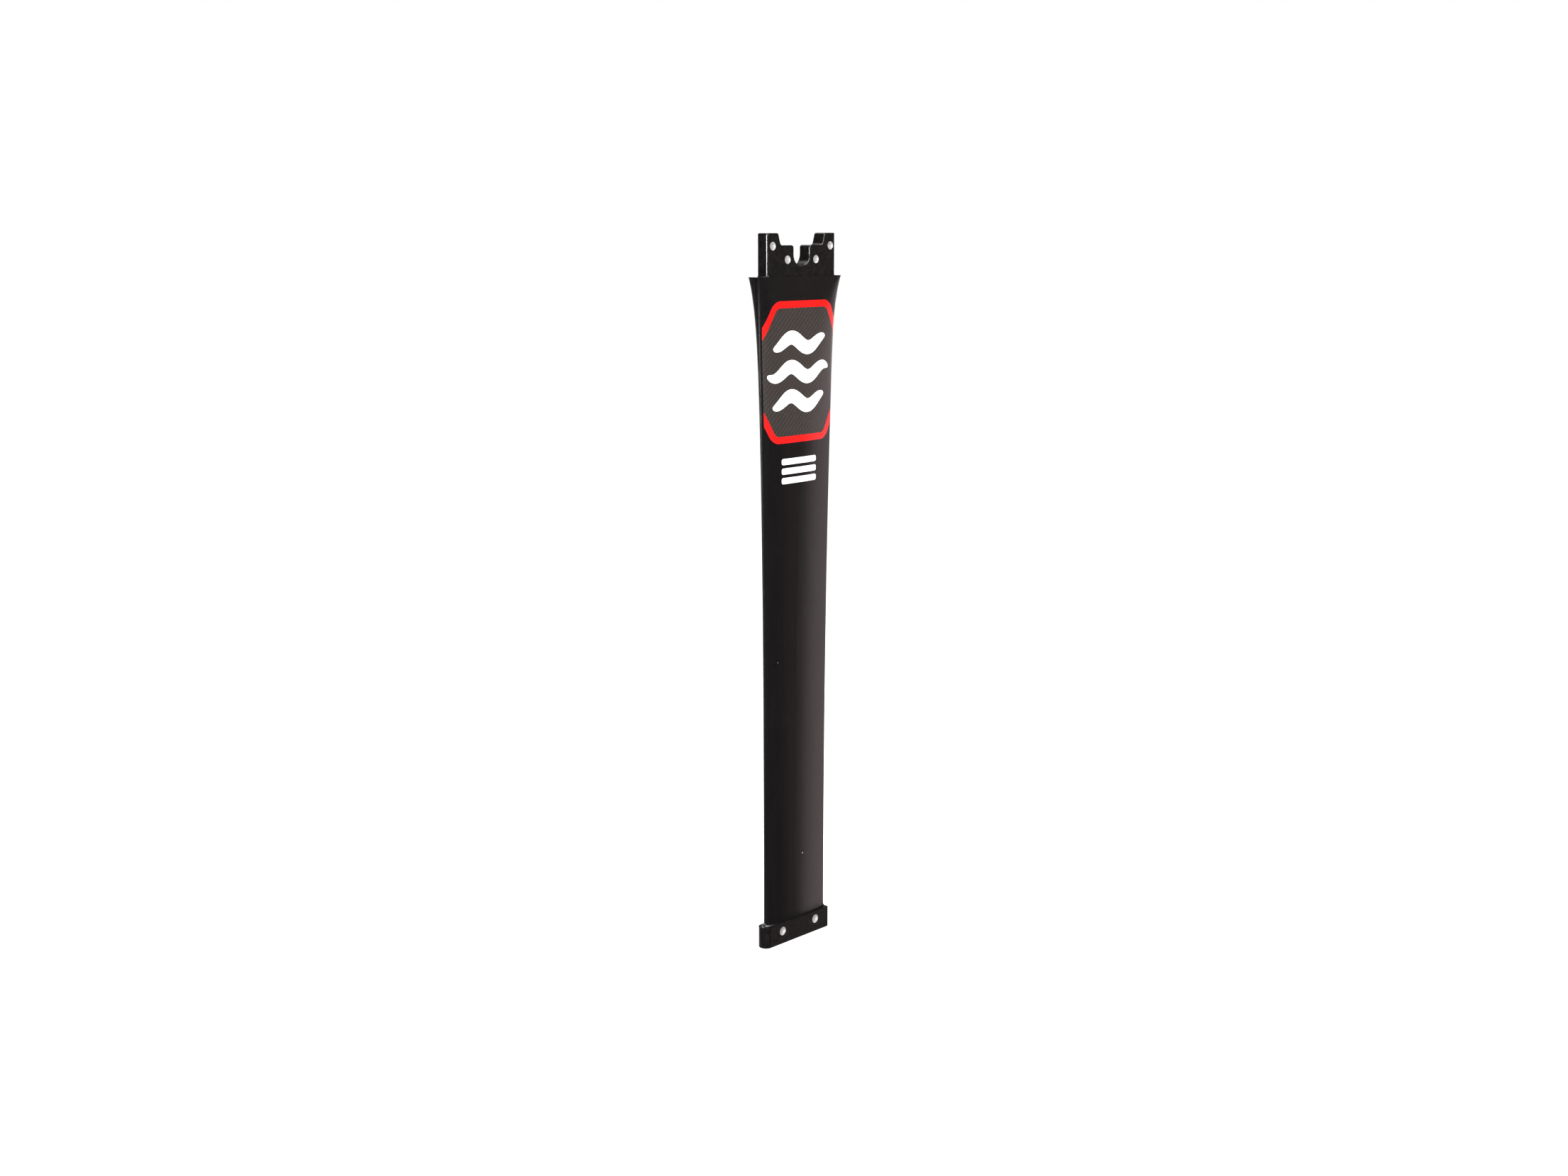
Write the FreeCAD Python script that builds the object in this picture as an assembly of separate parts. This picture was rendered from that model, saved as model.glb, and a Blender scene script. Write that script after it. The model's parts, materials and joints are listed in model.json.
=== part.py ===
import FreeCAD, Part
import math
import os

# Hydrofoil mast: a hollow moulded carbon strut, bolted to a board by the notched tongue at its top
# and into a fuselage by the block at its foot.
# Frame: +X towards the leading edge, +Y to port, +Z up to the board.
# The origin is on the foot's bottom face, straight below the middle of the tongue.

os.makedirs("parts", exist_ok=True)
V = FreeCAD.Vector

# ---------------------------------------------------------------- driving dimensions, mm
TOTAL_HEIGHT = 830.0
SHOULDER_Z = 782.0             # flat shoulder that the tongue rises from
FOOT_TOP_Z = 25.5              # ledge between the foot block and the foil-shaped mast

# outer shape of the mast, from the foot to the shoulder
FRONT_AT_FOOT = 55.8           # leading edge ahead of the tongue's middle
FRONT_TAPER = 11.5
FRONT_TAPER_POWER = 3.2
FRONT_LIP = 5.0                # extra reach right under the shoulder
FRONT_LIP_REACH = 38.0
REAR_AT_FOOT = 48.4            # trailing edge behind the tongue's middle
REAR_TAPER = 16.3
REAR_TAPER_POWER = 2.4
REAR_LIP = 3.9
REAR_LIP_REACH = 28.0
MAST_HALF_THICKNESS = 7.0
SHOULDER_HALF_THICKNESS = 9.5
BLUNT_REACH = 45.0             # height over which the foil turns into a blunt box section
NOSE_LENGTH = 36.0             # elliptical nose of the foil section
TAIL_LENGTH = 58.0             # falling tail of the foil section
BLUNT_END_LENGTH = 9.0         # both ends of the box section at the shoulder
FOIL_NOSE_POWER = 2.0
FOIL_TAIL_POWER = 1.8
FOIL_TAIL_ROOT = 1.0
BLUNT_POWER = 4.5
TRAILING_HALF_THICKNESS = 0.9

# the skin's outside sweeps out on to the foot block
FOOT_SWEEP_REACH = 1.5
FOOT_SWEEP_FRONT = 4.6
FOOT_SWEEP_REAR = 1.2
FOOT_SWEEP_SIDE = 1.55

# laminate and inner structure
SKIN = 1.5
NOSE_SKIN = 1.8
TAIL_BOND = 5.5                # depth of the solid bond line at the trailing edge
BLUNT_TAIL_BOND = 1.5
CAVITY_TAIL_HALF_THICKNESS = 0.3
SPAR_CAP = 2.0
SPAR_FRONT_X = 26.0
SPAR_REAR_X = -16.0
WEB = 2.5
LEADING_FILLER_DEPTH = 7.0
TRAILING_FILLER_DEPTH = 8.0
FOOT_PLUG_TOP_Z = 95.0
HEAD_ROOT_Z = 705.0
SPAR_CAP_TOP_Z = 745.0
REAR_INSERT_Z = 745.0

# tongue
TONGUE_HALF_WIDTH = 57.5
TONGUE_THICKNESS = 16.0
TONGUE_END_RADIUS = 3.0
TONGUE_RIM_RADIUS = 1.8
NOTCH_HALF_WIDTH_TOP = 38.4
NOTCH_HALF_WIDTH_STEP = 34.4
STEP_Z = 816.6
SLOT_HALF_WIDTH = 13.0
SLOT_BOTTOM_Z = 793.6
SLOT_END_RADIUS = 12.99        # a hair under half the slot's width
TOWER_CORNER_RADIUS = 2.5
NOTCH_CORNER_RADIUS = 4.0
SLOT_CORNER_RADIUS = 3.0

# bolt holes, all across the mast
HEAD_UPPER_X = 48.4
HEAD_UPPER_Z = 815.8
HEAD_LOWER_X = 23.9
HEAD_LOWER_Z = 800.7
HEAD_SLEEVE_RADIUS = 4.75
HEAD_BORE_RADIUS = 4.1
FOOT_HOLES_MIDDLE_X = 3.8
FOOT_HOLE_OFFSET_X = 28.9
FOOT_HOLE_Z = 16.0
FOOT_SLEEVE_RADIUS = 5.4
FOOT_BORE_RADIUS = 4.1

# foot block
FOOT_FRONT_X = 61.4
FOOT_REAR_X = -49.3
FOOT_THICKNESS = 17.5
FOOT_NOSE_RADIUS = 8.2
FOOT_TAIL_RADIUS = 1.8
FOOT_RIM_RADIUS = 1.6

# heights of the sections that the mast is lofted through
FOOT_SECTION_STEPS = [0.0, 0.6, 1.3, 2.2, 3.5, 5.5, 9.0, 20.0]
MAST_SECTIONS = [130.0, 260.0, 390.0, 500.0, 590.0, 650.0, 695.0, 722.0, 742.0]
SHOULDER_SECTION_STEPS = [27.0, 18.0, 11.0, 6.0, 2.5, 0.0]
SECTION_HEIGHTS = ([FOOT_TOP_Z + step for step in FOOT_SECTION_STEPS] + MAST_SECTIONS
                   + [SHOULDER_Z - step for step in SHOULDER_SECTION_STEPS])
PLUG_SINK = 6.0                # how far the inner shapes reach down into the foot block
CAVITY_HEIGHTS = [FOOT_TOP_Z - PLUG_SINK] + SECTION_HEIGHTS
CURVE_POINTS = 12
CLEAR = 60.0                   # reach of the cutting boxes past the mast's sides
STRIP_STEPS = 6
RIM_MATCH = 0.05               # how near an edge lies to the face that it belongs to
NOTCH_RIM_REACH = 38.9         # half width that holds every rim edge of the notch


def decay(distance, reach):
    return math.exp(-distance / reach)


def mix(at_foil, at_shoulder, blunt):
    return at_foil + (at_shoulder - at_foil) * blunt


def bluntness(z):
    return decay(SHOULDER_Z - z, BLUNT_REACH)


def front_edge(z):
    taper = FRONT_TAPER * (z / SHOULDER_Z) ** FRONT_TAPER_POWER
    return FRONT_AT_FOOT + taper + FRONT_LIP * decay(SHOULDER_Z - z, FRONT_LIP_REACH)


def rear_edge(z):
    taper = REAR_TAPER * (z / SHOULDER_Z) ** REAR_TAPER_POWER
    return -(REAR_AT_FOOT + taper + REAR_LIP * decay(SHOULDER_Z - z, REAR_LIP_REACH))


def half_thickness(z):
    return mix(MAST_HALF_THICKNESS, SHOULDER_HALF_THICKNESS, bluntness(z))


def section_edges(z, inset, front_inset, rear_inset, tail_half, sweep=0.0, side=1):
    """One half of a section at height z, as tail curve, flat side and nose curve."""
    blunt = bluntness(z)
    front = front_edge(z) - front_inset + FOOT_SWEEP_FRONT * sweep
    rear = rear_edge(z) + rear_inset - FOOT_SWEEP_REAR * sweep
    half = half_thickness(z) - inset + FOOT_SWEEP_SIDE * sweep
    nose_start = front_edge(z) - mix(NOSE_LENGTH, BLUNT_END_LENGTH, blunt)
    tail_start = rear_edge(z) + mix(TAIL_LENGTH, BLUNT_END_LENGTH, blunt)
    nose_power = mix(FOIL_NOSE_POWER, BLUNT_POWER, blunt)
    tail_power = mix(FOIL_TAIL_POWER, BLUNT_POWER, blunt)
    tail_root = mix(FOIL_TAIL_ROOT, BLUNT_POWER, blunt)
    tail_points = []
    nose_points = []
    for i in range(CURVE_POINTS + 1):
        angle = math.pi / 2 * i / CURVE_POINTS
        cosine = math.cos(angle) if i < CURVE_POINTS else 0.0
        back = cosine ** (2 / tail_power)
        rise = math.sin(angle) ** (2 / tail_root)
        tail_points.append(V(tail_start + (rear - tail_start) * back,
                             side * (tail_half + (half - tail_half) * rise), z))
        reach = math.sin(angle) ** (2 / nose_power)
        width = cosine ** (2 / nose_power)
        nose_points.append(V(nose_start + (front - nose_start) * reach, side * half * width, z))
    tail = Part.BSplineCurve()
    tail.interpolate(tail_points)
    nose = Part.BSplineCurve()
    nose.interpolate(nose_points)
    flat = Part.LineSegment(tail_points[-1], nose_points[0])
    return [tail.toShape(), flat.toShape(), nose.toShape()]


def outer_edges(z):
    sweep = decay(z - FOOT_TOP_Z, FOOT_SWEEP_REACH)
    tail_half = TRAILING_HALF_THICKNESS + FOOT_SWEEP_SIDE * sweep / 2
    return section_edges(z, 0.0, 0.0, 0.0, tail_half, sweep)


def inner_edges(z, extra=0.0, side=1):
    """Inside of the skin, or the same curve a further depth into the mast."""
    tail_bond = mix(TAIL_BOND, BLUNT_TAIL_BOND, bluntness(z))
    return section_edges(z, SKIN + extra, NOSE_SKIN + extra, tail_bond + extra,
                         CAVITY_TAIL_HALF_THICKNESS, side=side)


def line(a, b):
    return Part.LineSegment(a, b).toShape()


def ends(edges):
    return edges[0].Vertexes[0].Point, edges[-1].Vertexes[-1].Point


def skin_wire(z):
    outer = outer_edges(z)
    inner = inner_edges(z)
    outer_tail, outer_nose = ends(outer)
    inner_tail, inner_nose = ends(inner)
    tail_corner = V(outer_tail.x, 0, z)
    bond_corner = V(inner_tail.x, 0, z)
    edges = outer + [line(outer_nose, inner_nose)] + inner[::-1]
    edges += [line(inner_tail, bond_corner), line(bond_corner, tail_corner),
              line(tail_corner, outer_tail)]
    return Part.Wire(edges)


def cavity_wire(z, extra=0.0):
    port = inner_edges(z, extra)
    starboard = inner_edges(z, extra, side=-1)
    closing = line(starboard[0].Vertexes[0].Point, port[0].Vertexes[0].Point)
    return Part.Wire(port + starboard[::-1] + [closing])


def loft(wires):
    return Part.makeLoft(wires, True, False)


def block(x0, x1, y0, y1, z0, z1):
    return Part.makeBox(x1 - x0, y1 - y0, z1 - z0, V(x0, y0, z0))


def strip_beyond(edge_at, z0, z1, far_x):
    """A plate across the mast, from a line that follows an edge of the mast out to far_x."""
    heights = [z0 + (z1 - z0) * i / STRIP_STEPS for i in range(STRIP_STEPS + 1)]
    points = [V(edge_at(z), -CLEAR, z) for z in heights]
    points += [V(far_x, -CLEAR, z1), V(far_x, -CLEAR, z0)]
    face = Part.Face(Part.makePolygon(points + points[:1]))
    return face.extrude(V(0, 2 * CLEAR, 0))


def cavity_fill(x0, x1, z0, z1):
    """What fills the cavity between two heights, leaving room for the spar caps."""
    cap_top = min(z1, SPAR_CAP_TOP_Z)
    fill = cavity.common(block(SPAR_FRONT_X, x1, -CLEAR, CLEAR, z0, z1))
    fill = fill.fuse(cavity.common(block(x0, SPAR_REAR_X, -CLEAR, CLEAR, z0, z1)))
    fill = fill.fuse(deep_cavity.common(block(SPAR_REAR_X, SPAR_FRONT_X, -CLEAR, CLEAR, z0, cap_top)))
    if z1 > cap_top:
        fill = fill.fuse(cavity.common(block(SPAR_REAR_X, SPAR_FRONT_X, -CLEAR, CLEAR, cap_top, z1)))
    return fill


def cross_cylinder(x, z, radius, thickness):
    return Part.makeCylinder(radius, thickness, V(x, -thickness / 2, z), V(0, 1, 0))


def rounded_outline(corners, thickness):
    """A plate in the XZ plane: corners are (x, z, radius), with an arc in each corner."""
    count = len(corners)
    starts = []
    stops = []
    arcs = []
    for i in range(count):
        x, z, radius = corners[i]
        here = V(x, 0, z)
        before = V(corners[i - 1][0], 0, corners[i - 1][1]) - here
        after = V(corners[(i + 1) % count][0], 0, corners[(i + 1) % count][1]) - here
        before.normalize()
        after.normalize()
        if radius == 0:
            starts.append(here)
            stops.append(here)
            continue
        turn = before.getAngle(after) / 2
        reach = radius / math.tan(turn)
        middle = before + after
        middle.normalize()
        centre = here + middle * (radius / math.sin(turn))
        start = here + before * reach
        stop = here + after * reach
        arcs.append(Part.Arc(start, centre - middle * radius, stop).toShape())
        starts.append(start)
        stops.append(stop)
    edges = [line(stops[i - 1], starts[i]) for i in range(count)] + arcs
    wire = Part.Wire(Part.__sortEdges__(edges))
    plate = Part.Face(wire).extrude(V(0, thickness, 0))
    plate.translate(V(0, -thickness / 2, 0))
    return plate


def edge_is_at(edge, axis, value):
    box = edge.BoundBox
    low, high = ((box.XMin, box.XMax), (box.YMin, box.YMax), (box.ZMin, box.ZMax))[axis]
    return abs(low - value) < RIM_MATCH and abs(high - value) < RIM_MATCH


def keep(name, shape):
    solids = shape.Solids
    result = solids[0] if len(solids) == 1 else Part.makeCompound(solids)
    if not result.isValid():
        raise ValueError(name + " isn't a valid solid")
    result.exportStep("parts/" + name + ".step")
    print(f"{name:26s} solids {len(solids)}  volume {result.Volume:10.1f} mm3")


# ---------------------------------------------------------------- shells
port_skin = loft([skin_wire(z) for z in SECTION_HEIGHTS])
starboard_skin = port_skin.mirror(V(0, 0, 0), V(0, 1, 0))
cavity = loft([cavity_wire(z) for z in CAVITY_HEIGHTS])
deep_cavity = loft([cavity_wire(z, SPAR_CAP) for z in CAVITY_HEIGHTS])

# ---------------------------------------------------------------- spar caps and webs
spar_zone = block(SPAR_REAR_X, SPAR_FRONT_X, 0, CLEAR, FOOT_TOP_Z, SPAR_CAP_TOP_Z)
port_spar_cap = cavity.cut(deep_cavity).common(spar_zone)
starboard_spar_cap = port_spar_cap.mirror(V(0, 0, 0), V(0, 1, 0))
core_z = (FOOT_PLUG_TOP_Z, HEAD_ROOT_Z)
front_web = cavity.common(block(SPAR_FRONT_X, SPAR_FRONT_X + WEB, -CLEAR, CLEAR, *core_z))
rear_web = cavity.common(block(SPAR_REAR_X - WEB, SPAR_REAR_X, -CLEAR, CLEAR, *core_z))

# ---------------------------------------------------------------- foam cores and edge fillers
leading_zone = strip_beyond(lambda z: front_edge(z) - NOSE_SKIN - LEADING_FILLER_DEPTH,
                            *core_z, 2 * CLEAR)
trailing_zone = strip_beyond(lambda z: rear_edge(z) + TAIL_BOND + TRAILING_FILLER_DEPTH,
                             *core_z, -2 * CLEAR)
leading_edge_filler = cavity.common(leading_zone)
trailing_edge_filler = cavity.common(trailing_zone)
nose_zone = block(SPAR_FRONT_X + WEB, 2 * CLEAR, -CLEAR, CLEAR, *core_z)
tail_zone = block(-2 * CLEAR, SPAR_REAR_X - WEB, -CLEAR, CLEAR, *core_z)
nose_core = cavity.common(nose_zone).cut(leading_zone)
tail_core = cavity.common(tail_zone).cut(trailing_zone)
centre_core = deep_cavity.common(block(SPAR_REAR_X, SPAR_FRONT_X, -CLEAR, CLEAR, *core_z))

# ---------------------------------------------------------------- head: tongue and its root
half_notch = [
    (NOTCH_HALF_WIDTH_TOP, TOTAL_HEIGHT, TOWER_CORNER_RADIUS),
    (NOTCH_HALF_WIDTH_STEP, STEP_Z, NOTCH_CORNER_RADIUS),
    (SLOT_HALF_WIDTH, STEP_Z, SLOT_CORNER_RADIUS),
    (SLOT_HALF_WIDTH, SLOT_BOTTOM_Z, SLOT_END_RADIUS),
]
front_side = [(TONGUE_HALF_WIDTH, SHOULDER_Z, 0), (TONGUE_HALF_WIDTH, TOTAL_HEIGHT, 0)]
outline = front_side + half_notch
outline += [(-x, z, radius) for x, z, radius in outline[::-1]]
tongue = rounded_outline(outline, TONGUE_THICKNESS)
end_edges = [edge for edge in tongue.Edges
             if edge_is_at(edge, 0, TONGUE_HALF_WIDTH) or edge_is_at(edge, 0, -TONGUE_HALF_WIDTH)]
end_edges = [edge for edge in end_edges if edge.BoundBox.ZLength > TONGUE_THICKNESS]
tongue = tongue.makeFillet(TONGUE_END_RADIUS, end_edges)
rim_edges = [edge for edge in tongue.Edges
             if (edge_is_at(edge, 1, TONGUE_THICKNESS / 2) or edge_is_at(edge, 1, -TONGUE_THICKNESS / 2))
             and edge.BoundBox.ZMax > SHOULDER_Z + TONGUE_END_RADIUS
             and max(abs(edge.BoundBox.XMin), abs(edge.BoundBox.XMax)) < NOTCH_RIM_REACH]
tongue = tongue.makeFillet(TONGUE_RIM_RADIUS, rim_edges)

root = cavity_fill(-TONGUE_HALF_WIDTH, TONGUE_HALF_WIDTH, HEAD_ROOT_Z, SHOULDER_Z)
head_block = tongue.fuse(root).removeSplitter()
head_holes = []
for row, hole_x, hole_z in (("upper", HEAD_UPPER_X, HEAD_UPPER_Z), ("lower", HEAD_LOWER_X, HEAD_LOWER_Z)):
    head_holes.append(("front_" + row + "_head_sleeve", hole_x, hole_z))
    head_holes.append(("rear_" + row + "_head_sleeve", -hole_x, hole_z))
for name, hole_x, hole_z in head_holes:
    head_block = head_block.cut(cross_cylinder(hole_x, hole_z, HEAD_SLEEVE_RADIUS, 2 * CLEAR))

front_shoulder_insert = cavity.common(
    block(TONGUE_HALF_WIDTH, 2 * CLEAR, -CLEAR, CLEAR, HEAD_ROOT_Z, SHOULDER_Z))
rear_shoulder_insert = cavity.common(
    block(-2 * CLEAR, -TONGUE_HALF_WIDTH, -CLEAR, CLEAR, REAR_INSERT_Z, SHOULDER_Z))

# ---------------------------------------------------------------- foot: block and its plug
half_foot = FOOT_THICKNESS / 2
foot = block(FOOT_REAR_X, FOOT_FRONT_X, -half_foot, half_foot, 0, FOOT_TOP_Z)
nose_edges = [edge for edge in foot.Edges
              if edge_is_at(edge, 0, FOOT_FRONT_X) and edge.BoundBox.ZLength > FOOT_THICKNESS]
foot = foot.makeFillet(FOOT_NOSE_RADIUS, nose_edges)
tail_edges = [edge for edge in foot.Edges
              if edge_is_at(edge, 0, FOOT_REAR_X) and edge.BoundBox.ZLength > FOOT_THICKNESS]
foot = foot.makeFillet(FOOT_TAIL_RADIUS, tail_edges)
foot_rims = [edge for edge in foot.Edges if edge_is_at(edge, 2, 0)]
foot = foot.makeFillet(FOOT_RIM_RADIUS, foot_rims)
plug = cavity_fill(-2 * CLEAR, 2 * CLEAR, FOOT_TOP_Z - PLUG_SINK, FOOT_PLUG_TOP_Z)
foot_block = foot.fuse(plug).removeSplitter()
foot_holes = [("front_foot_sleeve", FOOT_HOLES_MIDDLE_X + FOOT_HOLE_OFFSET_X),
              ("rear_foot_sleeve", FOOT_HOLES_MIDDLE_X - FOOT_HOLE_OFFSET_X)]
for name, hole_x in foot_holes:
    foot_block = foot_block.cut(cross_cylinder(hole_x, FOOT_HOLE_Z, FOOT_SLEEVE_RADIUS, 2 * CLEAR))

# ---------------------------------------------------------------- the kept sub-parts
keep("port_skin", port_skin)
keep("starboard_skin", starboard_skin)
keep("port_spar_cap", port_spar_cap)
keep("starboard_spar_cap", starboard_spar_cap)
keep("front_shear_web", front_web)
keep("rear_shear_web", rear_web)
keep("leading_edge_filler", leading_edge_filler)
keep("trailing_edge_filler", trailing_edge_filler)
keep("nose_core", nose_core)
keep("centre_core", centre_core)
keep("tail_core", tail_core)
keep("head_block", head_block)
keep("front_shoulder_insert", front_shoulder_insert)
keep("rear_shoulder_insert", rear_shoulder_insert)
keep("foot_block", foot_block)
for name, hole_x, hole_z in head_holes:
    sleeve = cross_cylinder(hole_x, hole_z, HEAD_SLEEVE_RADIUS, TONGUE_THICKNESS)
    keep(name, sleeve.cut(cross_cylinder(hole_x, hole_z, HEAD_BORE_RADIUS, 2 * CLEAR)))
for name, hole_x in foot_holes:
    sleeve = cross_cylinder(hole_x, FOOT_HOLE_Z, FOOT_SLEEVE_RADIUS, FOOT_THICKNESS)
    keep(name, sleeve.cut(cross_cylinder(hole_x, FOOT_HOLE_Z, FOOT_BORE_RADIUS, 2 * CLEAR)))
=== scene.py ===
# %% [markdown]
# # A moulded carbon hydrofoil mast
# The mast is a flat, foil-shaped strut. A notched tongue at its head bolts to the board, and a
# block at its foot bolts into the fuselage. The hard shapes come ready made from CAD. Here they
# get their finishes, and the small things that CAD leaves out: turned sleeves, rings of painted
# shade round their mouths, and printed marks. A new Blender file may hold a cube, a lamp and a
# camera, so these go first.

# %% Load the frame
import bpy
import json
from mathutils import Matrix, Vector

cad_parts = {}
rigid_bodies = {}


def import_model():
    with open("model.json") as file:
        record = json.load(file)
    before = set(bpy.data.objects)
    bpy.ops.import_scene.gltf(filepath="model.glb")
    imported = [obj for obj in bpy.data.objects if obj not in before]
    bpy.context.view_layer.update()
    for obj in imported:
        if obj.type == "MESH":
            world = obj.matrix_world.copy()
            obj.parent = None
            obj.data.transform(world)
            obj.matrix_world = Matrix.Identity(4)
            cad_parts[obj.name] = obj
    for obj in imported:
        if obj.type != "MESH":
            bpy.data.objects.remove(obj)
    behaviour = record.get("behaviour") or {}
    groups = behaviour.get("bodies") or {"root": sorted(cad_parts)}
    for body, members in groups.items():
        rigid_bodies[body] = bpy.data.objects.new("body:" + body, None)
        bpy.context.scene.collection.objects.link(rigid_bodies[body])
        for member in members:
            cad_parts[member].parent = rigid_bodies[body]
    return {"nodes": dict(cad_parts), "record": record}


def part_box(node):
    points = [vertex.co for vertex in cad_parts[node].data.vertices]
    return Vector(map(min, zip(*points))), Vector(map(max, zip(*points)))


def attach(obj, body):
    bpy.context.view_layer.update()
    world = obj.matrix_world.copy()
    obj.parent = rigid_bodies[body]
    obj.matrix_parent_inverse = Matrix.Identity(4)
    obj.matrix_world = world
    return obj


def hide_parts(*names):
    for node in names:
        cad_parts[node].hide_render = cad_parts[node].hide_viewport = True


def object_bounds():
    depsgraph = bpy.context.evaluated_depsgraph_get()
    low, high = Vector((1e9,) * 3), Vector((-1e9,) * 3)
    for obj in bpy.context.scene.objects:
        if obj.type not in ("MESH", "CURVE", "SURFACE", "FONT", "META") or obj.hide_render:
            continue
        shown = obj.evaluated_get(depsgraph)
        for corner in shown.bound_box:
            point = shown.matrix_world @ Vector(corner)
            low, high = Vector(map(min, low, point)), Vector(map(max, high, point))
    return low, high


for leftover in list(bpy.data.objects):
    bpy.data.objects.remove(leftover)
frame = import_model()
cad_low, cad_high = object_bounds()
half_height = (cad_low[2] + cad_high[2]) / 2
print("nodes:", len(frame["nodes"]), "height in mm:", round((cad_high[2] - cad_low[2]) * 1000, 1))

# %% Modules and units
import bmesh
import json
import math
from mathutils import Matrix, Vector
from mathutils.bvhtree import BVHTree
from mathutils.interpolate import poly_3d_calc

MM = 0.001
scene = bpy.context.scene
nodes = frame["nodes"]

# %% [markdown]
# ## Camera
# The mast stands upright and is seen from its front port side, from just above its own height,
# so the tongue is seen level and the foot from above. An object this tall and thin needs a long
# lens. The camera stands on a line that leaves the mast at an angle, and tips down a little.

# %% Camera
VIEW_FROM = math.radians(132.25)
TIP_DOWN = math.radians(10.45)
CAMERA_DISTANCE = 2.26876
CAMERA_SIDESTEP = -0.01429
CAMERA_HEIGHT = 0.84217
LENS_MM = 45.57
SENSOR_MM = 36

towards_camera = Vector((math.sin(VIEW_FROM), -math.cos(VIEW_FROM), 0))
camera_right = Vector((math.cos(VIEW_FROM), math.sin(VIEW_FROM), 0))
looking = -towards_camera * math.cos(TIP_DOWN) - Vector((0, 0, math.sin(TIP_DOWN)))
camera = bpy.data.objects.new("camera", bpy.data.cameras.new("camera"))
camera.data.sensor_width = SENSOR_MM
camera.data.lens = LENS_MM
camera.location = (towards_camera * CAMERA_DISTANCE + camera_right * CAMERA_SIDESTEP
                   + Vector((0, 0, CAMERA_HEIGHT)))
camera.rotation_euler = looking.to_track_quat("-Z", "Y").to_euler()
scene.collection.objects.link(camera)
scene.camera = camera
print("camera at", [round(value, 3) for value in camera.location])

# %% [markdown]
# ## Node helpers
# Every finish below is a node tree. A few small helpers keep the trees readable. They add a node
# and fill its sockets, do arithmetic, and say where on the mast a point is.

# %% Node helpers
def add(tree, kind, sockets=None, **options):
    """Adds a node. Sockets take a number, a colour or another node's output."""
    made = tree.nodes.new("ShaderNode" + kind)
    for name, value in options.items():
        setattr(made, name, value)
    for name, value in (sockets or {}).items():
        if isinstance(value, bpy.types.NodeSocket):
            tree.links.new(value, made.inputs[name])
        else:
            made.inputs[name].default_value = value
    return made


def calc(tree, operation, *values):
    """Adds a Math node and returns its output."""
    return add(tree, "Math", dict(enumerate(values)), operation=operation).outputs[0]


def smooth_step(tree, value, low, high):
    """0 at low, 1 at high and smooth between them. Low may be the greater of the two."""
    stepped = add(tree, "MapRange", {"Value": value, "From Min": low, "From Max": high},
                  interpolation_type="SMOOTHSTEP")
    return stepped.outputs["Result"]


def place(tree):
    """Where a point is on the mast, in metres."""
    return add(tree, "TexCoord").outputs["Object"]


def stretched(tree, scale):
    """The same place, with each axis scaled, for patterns that run one way."""
    return add(tree, "Mapping", {"Vector": place(tree), "Scale": scale}).outputs[0]


print("helpers ready")

# %% [markdown]
# ## Studio
# Black satin shows its surroundings more than its own colour. The room is bright behind the mast
# and to its rear, and dark beside it, so the flat side stays black and the falling tail picks up
# a soft band of light. The dark and bright parts are one smooth gradient in the world, because a
# gradient has no edges to show up in the gloss. Overhead it fades, so that only the softboxes
# light the ledges, and well below the horizon it is turned a little further round. The camera
# itself sees plain white.

# %% World
BRIGHT_SIDE = math.radians(222)
ROOM_STOPS = [
    (0.00, (0.030, 0.031, 0.034)),
    (0.17, (0.040, 0.036, 0.036)),
    (0.37, (1.10, 0.88, 0.90)),
    (0.52, (0.85, 0.70, 0.72)),
    (0.72, (1.20, 1.10, 1.10)),
    (0.92, (3.5, 3.5, 3.5)),
]
LOW_BAND = (-0.10, -0.34)
LOW_SHIFT = 0.04
DIM_ABOVE = (-0.02, 0.14)
DIM_LEVEL = 0.05

world = bpy.data.worlds.new("studio")
scene.world = world
world.use_nodes = True
tree = world.node_tree
tree.nodes.clear()
direction = add(tree, "TexCoord").outputs["Generated"]
bright_way = (math.cos(BRIGHT_SIDE), math.sin(BRIGHT_SIDE), 0)
facing = add(tree, "VectorMath", {0: direction, 1: bright_way},
             operation="DOT_PRODUCT").outputs["Value"]
height = add(tree, "SeparateXYZ", {0: direction}).outputs["Z"]
lowness = smooth_step(tree, height, *LOW_BAND)
shifted = calc(tree, "MULTIPLY_ADD", lowness, LOW_SHIFT, facing)
ramp = add(tree, "ValToRGB", {"Fac": shifted})
for stop, _ in ROOM_STOPS[1:-1]:
    ramp.color_ramp.elements.new(stop)
for element, (stop, level) in zip(ramp.color_ramp.elements, ROOM_STOPS):
    element.position = stop
    element.color = (*level, 1)
ramp.color_ramp.interpolation = "EASE"
upness = smooth_step(tree, height, *DIM_ABOVE)
strength = calc(tree, "MULTIPLY_ADD", upness, DIM_LEVEL - 1, 1.0)
room = add(tree, "Background", {"Color": ramp.outputs[0], "Strength": strength})
backdrop = add(tree, "Background", {"Color": (1, 1, 1, 1), "Strength": 1.0})
seen = add(tree, "LightPath").outputs["Is Camera Ray"]
mixed = add(tree, "MixShader", {0: seen, 1: room.outputs[0], 2: backdrop.outputs[0]})
add(tree, "OutputWorld", {"Surface": mixed.outputs[0]})
scene.view_settings.view_transform = "Standard"
print("the room has", len(ROOM_STOPS), "levels")

# %% Lamps
# Name, degrees round from +X, degrees up, metres away, width and height in metres, watts
SOFTBOXES = [
    ("key", 85, 40, 2.6, (1.8, 1.8), 92),
    ("overhead", -95, 74, 3.0, (2.0, 2.0), 70),
    ("front_window", 24, 9.2, 3.0, (1.4, 0.20), 110),
]


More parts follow.
